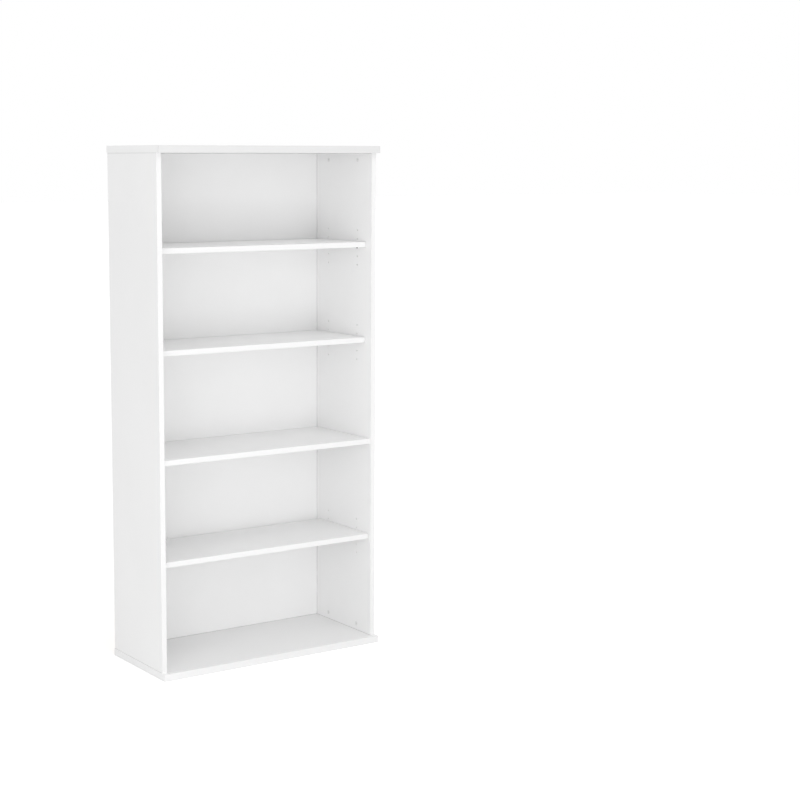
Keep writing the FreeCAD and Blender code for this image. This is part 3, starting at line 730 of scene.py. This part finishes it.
class BOOKCASE_OT_shelves(Operator):
    """Finish the three loose shelves"""

    bl_idname = "bookcase.shelves"
    bl_label = "Adjustable shelves"

    def execute(self, context):
        for node in SHELVES:
            laminated_board(node, "Z", "", context.scene.bookcase_boards)
        return {"FINISHED"}


class BOOKCASE_OT_bands(Operator):
    """Finish the edge banding of every board"""

    bl_idname = "bookcase.bands"
    bl_label = "Edge banding"

    def execute(self, context):
        finish = context.scene.bookcase_boards
        for node in sorted(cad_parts):
            if node.endswith("_band"):
                edge_band(node, finish)
        return {"FINISHED"}


class BOOKCASE_OT_back(Operator):
    """Finish the back panel"""

    bl_idname = "bookcase.back"
    bl_label = "Back panel"

    def execute(self, context):
        back_board("back_panel", context.scene.bookcase_boards)
        return {"FINISHED"}


class BOOKCASE_OT_pins(Operator):
    """Finish the shelf pins"""

    bl_idname = "bookcase.pins"
    bl_label = "Shelf pins"

    def execute(self, context):
        finish = context.scene.bookcase_fittings
        nickel = metal("nickel_plate", finish.nickel, roughness=0.24, tarnish=0.35,
                       depth=PLATED_RELIEF)
        for node in sorted(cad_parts):
            if "_shelf_pin_" in node:
                dress(node, nickel)
        return {"FINISHED"}


class BOOKCASE_OT_cams(Operator):
    """Finish the cam locks and their bolts"""

    bl_idname = "bookcase.cams"
    bl_label = "Cam locks and bolts"

    def execute(self, context):
        finish = context.scene.bookcase_fittings
        inner_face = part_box("left_side_panel")[1].x
        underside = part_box("middle_shelf")[0].z
        coated_cam("top_cam_locks", finish, "X", inner_face)
        coated_cam("base_cam_locks", finish, "X", inner_face)
        coated_cam("middle_shelf_cam_locks", finish, "Z", underside)
        plated = metal("zinc_plate", finish.bolt, roughness=0.30, tarnish=0.5, depth=METAL_RELIEF)
        for joint in JOINTS:
            dress(f"{joint}_cam_bolts", plated)
        return {"FINISHED"}


class BOOKCASE_OT_dowels(Operator):
    """Finish the wooden dowels"""

    bl_idname = "bookcase.dowels"
    bl_label = "Dowels"

    def execute(self, context):
        for joint in JOINTS:
            run = "X" if joint == "middle_shelf" else "Z"
            beech(f"{joint}_dowels", context.scene.bookcase_fittings, run)
        return {"FINISHED"}


class BOOKCASE_OT_nails(Operator):
    """Finish the nails of the back panel"""

    bl_idname = "bookcase.nails"
    bl_label = "Nails"

    def execute(self, context):
        finish = context.scene.bookcase_fittings
        steel = metal("bright_steel", finish.nail, roughness=0.28, tarnish=0.8, depth=METAL_RELIEF)
        dress("back_panel_nails", steel)
        return {"FINISHED"}


def make_floor(settings):
    """A wide floor, just under the case."""
    mesh = bpy.data.meshes.new("floor")
    corners = [(x * FLOOR_REACH, y * FLOOR_REACH, -FLOOR_DROP)
               for x, y in ((-1, -1), (1, -1), (1, 1), (-1, 1))]
    mesh.from_pydata(corners, [], [(0, 1, 2, 3)])
    floor = bpy.data.objects.new("floor", mesh)
    bpy.context.scene.collection.objects.link(floor)
    material, net, shader = new_material("studio_floor")
    pale = Vector(settings.floor)
    mottle = net.noise(net.place(), 0.6, detail=3.0)
    net.feed(shader.inputs["Base Color"], net.blend(mottle, pale, pale * 0.985))
    shader.inputs["Roughness"].default_value = 0.8
    shader.inputs["Emission Color"].default_value = (1.0, 1.0, 1.0, 1.0)
    seen = net.node("ShaderNodeLightPath").outputs["Is Camera Ray"]
    net.feed(shader.inputs["Emission Strength"], net.product(seen, settings.floor_glow))
    mesh.materials.append(material)


def make_surround(settings):
    """An even surround: seen directly it is full white, and it lights the case a little less."""
    world = bpy.data.worlds.new("surround")
    world.use_nodes = True
    net = Net(world.node_tree)
    seen = net.node("ShaderNodeLightPath").outputs["Is Camera Ray"]
    sky = world.node_tree.nodes["Background"].inputs
    net.feed(sky["Color"], (1.0, 1.0, 1.0))
    net.feed(sky["Strength"], net.number("MAXIMUM", seen, settings.sky))
    bpy.context.scene.world = world


def make_softbox(name, place, target, size, power):
    """A large square light that looks at a point, and that no camera sees."""
    light = bpy.data.lights.new(name, "AREA")
    light.shape = "SQUARE"
    light.size = size
    light.energy = power
    holder = bpy.data.objects.new(name, light)
    holder.location = place
    holder.rotation_euler = (target - place).to_track_quat("-Z", "Y").to_euler()
    holder.visible_camera = False
    bpy.context.scene.collection.objects.link(holder)


def make_camera(settings):
    """The camera: where it stands round the case, which way it looks and its lens."""
    camera = bpy.data.cameras.new("camera")
    camera.lens = settings.lens
    camera.sensor_width = 36.0
    camera.shift_x = settings.shift_x
    camera.shift_y = settings.shift_y
    camera.clip_end = 200.0
    holder = bpy.data.objects.new("camera", camera)
    holder.location = (-settings.distance * math.sin(settings.azimuth),
                       -settings.distance * math.cos(settings.azimuth), settings.height)
    holder.rotation_euler = (math.pi / 2 - settings.tilt, 0.0, -settings.heading)
    bpy.context.scene.collection.objects.link(holder)
    bpy.context.scene.camera = holder


class BOOKCASE_OT_stage(Operator):
    """Build the floor, the surround, the lights and the camera"""

    bl_idname = "bookcase.stage"
    bl_label = "Studio"

    def execute(self, context):
        settings = context.scene.bookcase_stage
        centre = (CAD_LOW + CAD_HIGH) / 2
        make_floor(settings)
        make_surround(settings)
        for name, (offset, size, power) in SOFTBOXES.items():
            make_softbox(name, centre + Vector(offset), centre, size, getattr(settings, power))
        make_camera(settings)
        context.scene.view_settings.view_transform = "Standard"
        return {"FINISHED"}


# ---------------------------------------------------------------- panel and registration


STEPS = (
    BOOKCASE_OT_boards,
    BOOKCASE_OT_shelves,
    BOOKCASE_OT_bands,
    BOOKCASE_OT_back,
    BOOKCASE_OT_pins,
    BOOKCASE_OT_cams,
    BOOKCASE_OT_dowels,
    BOOKCASE_OT_nails,
    BOOKCASE_OT_stage,
)

SETTINGS = {
    "bookcase_boards": BoardFinish,
    "bookcase_fittings": FittingFinish,
    "bookcase_stage": StageSettings,
}


class BOOKCASE_PT_sidebar(Panel):
    """Lists the settings and the steps"""

    bl_idname = "BOOKCASE_PT_sidebar"
    bl_label = "Bookcase"
    bl_space_type = "VIEW_3D"
    bl_region_type = "UI"
    bl_category = "Bookcase"

    def draw(self, context):
        for name, group in SETTINGS.items():
            box = self.layout.box()
            for setting in group.__annotations__:
                box.prop(getattr(context.scene, name), setting)
        for step in STEPS:
            self.layout.operator(step.bl_idname)


CLASSES = (*SETTINGS.values(), *STEPS, BOOKCASE_PT_sidebar)


def register():
    """Register the classes and hang the settings on the scene."""
    for kind in CLASSES:
        bpy.utils.register_class(kind)
    for name, group in SETTINGS.items():
        setattr(bpy.types.Scene, name, PointerProperty(type=group))


def unregister():
    """Take the settings and the classes away again."""
    for name in SETTINGS:
        delattr(bpy.types.Scene, name)
    for kind in reversed(CLASSES):
        bpy.utils.unregister_class(kind)


def main():
    """Build the effects, then run every step in order."""
    register()
    make_effects()
    for step in STEPS:
        family, name = step.bl_idname.split(".")
        getattr(getattr(bpy.ops, family), name)()


if __name__ == "__main__":
    main()
